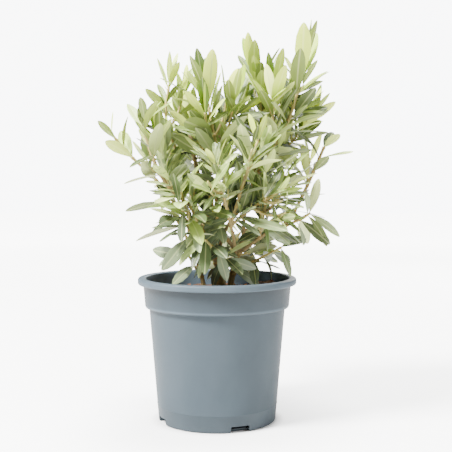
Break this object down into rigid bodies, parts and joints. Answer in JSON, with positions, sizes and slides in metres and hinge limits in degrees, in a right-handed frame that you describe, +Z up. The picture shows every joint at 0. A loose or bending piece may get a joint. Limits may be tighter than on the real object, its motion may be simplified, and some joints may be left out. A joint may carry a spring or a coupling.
{
  "type": "potted olive tree",
  "caption": "Young bushy olive with a trunk, lesser stems and narrow grey-green leaves, growing in a tapered round nursery pot filled with soil.",
  "frame": {"origin": "centre of the pot's flat underside", "axes": "+Z up along the pot's axis; -Y towards the viewer of the reference view; +X to the viewer's right"},
  "size_m": [0.2988, 0.2512, 0.4758],
  "materials": {
    "pot": "semi-matt moulded plastic",
    "soil": "loose peat and bark",
    "bark": "young bark, finely furrowed",
    "foliage": "leathery leaves, paler beneath"
  },
  "bodies": {
    "root": {"bough_back_left": "bark", "bough_back_right": "bark", "bough_front": "bark", "bough_high": "bark", "bough_left": "bark", "bough_right": "bark", "bough_upper_left": "bark", "foliage_back": "foliage", "foliage_back_left": "foliage", "foliage_back_right": "foliage", "foliage_crown": "foliage", "foliage_front": "foliage", "foliage_front_high": "foliage", "foliage_front_right": "foliage", "foliage_inner_left": "foliage", "foliage_inner_middle": "foliage", "foliage_inner_right": "foliage", "foliage_left": "foliage", "foliage_left_tip": "foliage", "foliage_low_back": "foliage", "foliage_low_front": "foliage", "foliage_low_left": "foliage", "foliage_low_middle": "foliage", "foliage_low_outer": "foliage", "foliage_low_right": "foliage", "foliage_right": "foliage", "foliage_right_low": "foliage", "foliage_top_left": "foliage", "foliage_top_middle": "foliage", "foliage_top_right": "foliage", "foliage_trunk_top": "foliage", "foliage_upper_left": "foliage", "pot": "pot", "soil": "soil", "stem_left": "bark", "stem_right": "bark", "trunk": "bark"}
  },
  "joints": []
}
